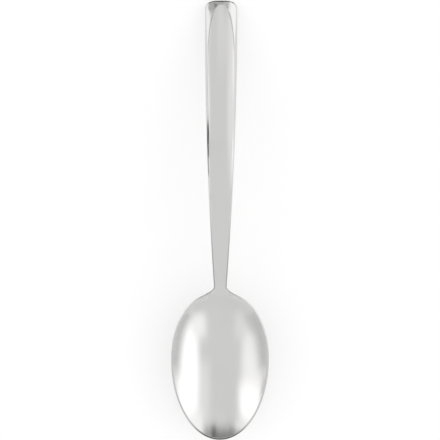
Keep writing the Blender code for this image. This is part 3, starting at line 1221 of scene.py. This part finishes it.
@dataclass(frozen=True)
class Studio:
    """A pale floor, a soft dome of light with a few panels, and the camera above.

    A later panel covers the earlier ones. The comments say where the steel reflects each panel, seen from
    above with the bowl's tip at the bottom.
    """

    dome: float = 0.90
    panels: tuple[Panel, ...] = (
        # the flat top near the arch, and the handle's lighter right side
        Panel(0.98, across=(-12.0, 40.0), along=(35.0, 60.0)),
        Panel(1.08, across=(23.0, 60.0), along=(-10.0, 60.0), soft=9.0),
        # the bright bands in the bowl: the left one, and its upper part
        Panel(1.70, across=(47.0, OPEN), along=(-64.0, 34.0), soft=9.0),
        Panel(1.34, across=(30.0, 58.0), along=(-62.0, -34.0), soft=9.0),
        # the bowl's right band and the handle's left bevel, then the band's upper and lower parts
        Panel(1.32, across=(-OPEN, -47.0), along=(-62.0, 50.0), soft=9.0),
        Panel(1.08, across=(-56.0, -32.0), along=(-66.0, -34.0), soft=9.0),
        Panel(1.70, across=(-OPEN, -42.0), along=(8.0, 34.0), soft=9.0),
        # the handle's left and right corners beside the arch, and the bowl's lower left
        Panel(1.24, across=(-OPEN, -38.0), along=(36.0, OPEN)),
        Panel(1.36, across=(37.0, OPEN), along=(30.0, OPEN), soft=5.0),
        # a bright spot right of the dark marks at the bowl's tip
        Panel(1.50, across=(-46.0, -32.0), along=(38.5, 41.5), soft=1.2),
        # the dish's wall by the neck
        Panel(0.88, along=(-OPEN, -60.0), tilt=(74.0, OPEN), soft=5.0),
        # the grey crescents inside the rim: right, its upper part, left, and both close to the rim
        Panel(0.80, across=(-OPEN, -30.0), along=(-60.0, -4.0), tilt=(74.0, OPEN), soft=5.0),
        Panel(0.80, across=(-OPEN, -30.0), along=(-56.0, -35.0), tilt=(70.5, OPEN), soft=5.0),
        Panel(0.84, across=(30.0, OPEN), along=(-60.0, 0.0), tilt=(76.0, OPEN), soft=5.0),
        Panel(0.58, along=(-58.0, -9.0), tilt=(81.0, OPEN), soft=3.0),
        # the lower rim and the handle's bevels
        Panel(1.08, along=(-4.0, 60.0), tilt=(80.0, OPEN), soft=3.0),
        # the handle's left bevel above its dark streak, then the streak and its lower part
        Panel(0.86, across=(-OPEN, -60.0), along=(17.0, 30.0), tilt=(78.5, OPEN), soft=3.0),
        Panel(0.0, across=(-OPEN, -60.0), along=(7.5, 18.0), tilt=(79.7, OPEN), soft=1.0),
        Panel(0.0, across=(-OPEN, -60.0), along=(0.5, 7.5), tilt=(82.0, OPEN), soft=1.0),
        # the grey wedge left of the arch's tip, and what lies behind the tip
        Panel(0.62, across=(-50.0, -34.0), along=(42.0, 80.0), soft=1.2),
        Panel(0.60, across=(-40.0, 14.0), along=(51.0, 70.0), soft=2.0),
        Panel(0.74, across=(14.0, 32.0), along=(51.0, 70.0), soft=2.0),
        # the soft dark marks at the bowl's tip
        Panel(0.18, across=(-32.0, 18.0), along=(44.5, 53.0), soft=4.0),
        Panel(0.26, across=(-32.5, -20.0), along=(43.0, 53.0), soft=2.0),
        Panel(0.44, across=(18.0, 34.0), along=(42.0, 51.0), soft=2.0),
        Panel(0.04, across=(8.0, 18.0), along=(42.0, 53.0), soft=2.0),
        # the dark line round the handle's end
        Panel(0.0, along=(58.0, OPEN), tilt=(72.5, OPEN), soft=2.0),
    )
    floor_finish: PaleFloor = field(default_factory=PaleFloor)
    floor_radius: float = 3.0
    floor_border: float = 0.30          # the floor turns up at its far edge and hides the dome's foot
    floor_sides: int = 128
    border_rows: int = 10
    lens: float = 180.0                 # millimetres
    sensor: float = 36.0                # millimetres
    frame_pixels: float = 440.0
    spoon_pixels: float = 439.6         # the spoon's length in the picture
    lean: float = 0.2                   # the spoon's lean in the picture
    offset_pixels: float = 0.5          # the spoon's middle lies this far right of the picture's

    def build_dome(self) -> None:
        """Light the studio."""
        world = bpy.data.worlds.new("studio")
        bpy.context.scene.world = world
        tree = ShaderTree(world)
        direction = tree.node("ShaderNodeTexCoord", {}, {}, "Generated")
        right, forward, up = tree.outputs(tree.node("ShaderNodeSeparateXYZ", {}, {"Vector": direction}))
        tilt = tree.math("DEGREES", tree.math("ARCCOSINE", up))
        spread = tilt / tree.math("SQRT", 1.0 - up * up)
        across, along = right * spread, forward * spread
        light = self.dome
        for panel in self.panels:
            light = tree.between(light, panel.strength, panel.cover(across, along, tilt))
        glow = tree.node("ShaderNodeBackground", {}, {"Color": (1.0, 1.0, 1.0, 1.0), "Strength": light})
        tree.node("ShaderNodeOutputWorld", {}, {"Surface": glow})

    def build_floor(self) -> None:
        """Lay the floor, which is no part of the spoon."""
        shape = bmesh.new()
        bmesh.ops.create_circle(shape, cap_ends=True, segments=self.floor_sides, radius=self.floor_radius)
        border = shape.edges[:]
        for row in range(1, self.border_rows + 1):
            border, ring = extrude(shape, border)
            angle = math.pi / 2 * row / self.border_rows
            reach = self.floor_radius + self.floor_border * math.sin(angle)
            height = self.floor_border * (1.0 - math.cos(angle))
            for vertex in ring:
                vertex.co = vertex.co.xy.normalized().to_3d() * reach + Vector((0.0, 0.0, height))
        floor = add_object("floor", shape)
        floor.data.materials.append(self.floor_finish.material())

    def place_camera(self, spoon: Object) -> None:
        """Hang the camera straight above the spoon, so that the spoon fills the picture from end to end.

        Args:
            spoon: The spoon's object.
        """
        points = [vertex.co for vertex in spoon.data.vertices]
        tip, end = min(points, key=lambda co: co.y), max(points, key=lambda co: co.y)
        lens = bpy.data.cameras.new("camera")
        lens.lens, lens.sensor_width = self.lens, self.sensor
        camera = bpy.data.objects.new("camera", lens)
        bpy.context.scene.collection.objects.link(camera)
        spread = self.spoon_pixels / 2 / self.frame_pixels * self.sensor / self.lens
        height = (end.y - tip.y) / (2 * spread) + (end.z + tip.z) / 2
        middle = end.y - spread * (height - end.z)
        pixel = (end.y - tip.y) / self.spoon_pixels
        camera.location = (-self.offset_pixels * pixel, middle, height)
        camera.rotation_euler = (0.0, 0.0, math.radians(self.lean))
        bpy.context.scene.camera = camera

    def build(self, spoon: Object) -> None:
        """Set up the studio around the spoon.

        Args:
            spoon: The spoon's object.
        """
        bpy.context.scene.view_settings.view_transform = "Standard"
        self.build_dome()
        self.build_floor()
        self.place_camera(spoon)


def main() -> None:
    """Build the spoon and its studio."""
    logging.basicConfig(level=logging.INFO, format="%(name)s: %(message)s")
    teaspoon = Teaspoon()
    spoon = teaspoon.build()
    teaspoon.dress(spoon)
    log.info("spoon: %d faces on body %s", len(spoon.data.polygons), BODY)
    Studio().build(spoon)
    log.info("studio: floor, dome and camera")


if __name__ == "__main__":
    main()
